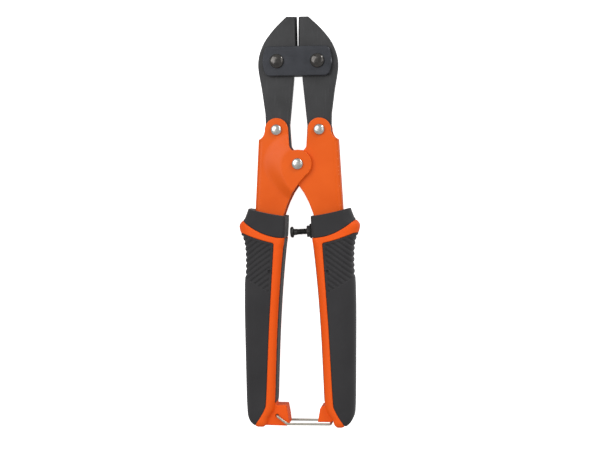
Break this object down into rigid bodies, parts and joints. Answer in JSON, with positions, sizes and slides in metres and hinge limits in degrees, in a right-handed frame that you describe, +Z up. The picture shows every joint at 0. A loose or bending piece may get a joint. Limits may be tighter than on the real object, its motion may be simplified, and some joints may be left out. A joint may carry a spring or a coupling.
{
  "type": "bolt cutters",
  "caption": "Small hand bolt cutters with forged jaws, riveted link plates, folded steel handles, soft grips, a stop screw and a wire latch.",
  "frame": {"origin": "on the surface that the tool lies on, below the middle of its length and width", "axes": "+Y along the tool towards the jaw tips, +X across it towards the right grip, +Z up from the surface, along the rivets"},
  "size_m": [0.062, 0.21, 0.0184],
  "materials": {
    "jaw_steel": "black oxide, matte, on forged steel",
    "link_plate_steel": "blued steel strap, satin",
    "black_rivet": "blackened domed rivet, semi-gloss",
    "zinc_rivet": "bright zinc plated, semi-gloss",
    "orange_paint": "orange powder coat, satin",
    "orange_plastic": "moulded orange plastic, satin",
    "black_rubber": "soft-touch dark grey rubber, matte",
    "bail_wire": "plated wire, semi-gloss",
    "spring_steel": "plain spring wire",
    "black_screw": "blackened screw and nut, satin"
  },
  "bodies": {
    "left_handle": {"left_handle_frame": "orange_paint", "left_grip_core": "orange_plastic", "left_grip_collar": "black_rubber", "left_grip_panel": "black_rubber", "left_grip_inner_strip": "black_rubber", "left_jaw_rivet": "zinc_rivet", "center_pivot_rivet": "zinc_rivet", "center_spacer": "zinc_rivet", "opening_spring": "spring_steel"},
    "right_handle": {"right_handle_frame": "orange_paint", "right_grip_core": "orange_plastic", "right_grip_collar": "black_rubber", "right_grip_panel": "black_rubber", "right_grip_inner_strip": "black_rubber", "right_jaw_rivet": "zinc_rivet", "stop_lock_nut": "black_screw", "stop_threaded_block": "zinc_rivet"},
    "left_jaw_body": {"left_jaw": "jaw_steel"},
    "right_jaw_body": {"right_jaw": "jaw_steel"},
    "link": {"front_link_plate": "link_plate_steel", "back_link_plate": "link_plate_steel", "left_link_rivet": "black_rivet", "right_link_rivet": "black_rivet"},
    "bail": {"latch_bail": "bail_wire"},
    "stop": {"stop_screw": "black_screw"}
  },
  "joints": [
    {"name": "handle_pivot", "type": "hinge", "parent": "left_handle", "child": "right_handle", "pos_m": [0, 0.03, 0.0092], "axis": [0, 0, 1], "range_deg": [-2.8, 18], "deforming": ["opening_spring"]},
    {"name": "left_jaw_pivot", "type": "hinge", "parent": "left_handle", "child": "left_jaw_body", "pos_m": [-0.011, 0.04745, 0.0092], "axis": [0, 0, 1], "range_deg": [-2.2, 13.8]},
    {"name": "right_jaw_pivot", "type": "hinge", "parent": "right_handle", "child": "right_jaw_body", "pos_m": [0.011, 0.04745, 0.0092], "axis": [0, 0, 1], "range_deg": [-13.8, 2.2]},
    {"name": "link_pivot", "type": "hinge", "parent": "left_jaw_body", "child": "link", "pos_m": [-0.01037, 0.08235, 0.0092], "axis": [0, 0, 1], "range_deg": [-4.8, 0.8]},
    {"name": "bail_pivot", "type": "hinge", "parent": "left_handle", "child": "bail", "pos_m": [-0.012, -0.0994, 0.0092], "axis": [0, 0, -1], "range_deg": [0, 90]},
    {"name": "stop_adjust", "type": "slide", "parent": "right_handle", "child": "stop", "axis": [0.9982, 0.0593, 0], "range_m": [0, 0.0025]}
  ],
  "couplings": [
    {"joint": "left_jaw_pivot", "follows": "handle_pivot", "ratio": 0.76},
    {"joint": "right_jaw_pivot", "follows": "handle_pivot", "ratio": -0.76},
    {"joint": "link_pivot", "follows": "handle_pivot", "ratio": -0.26}
  ]
}
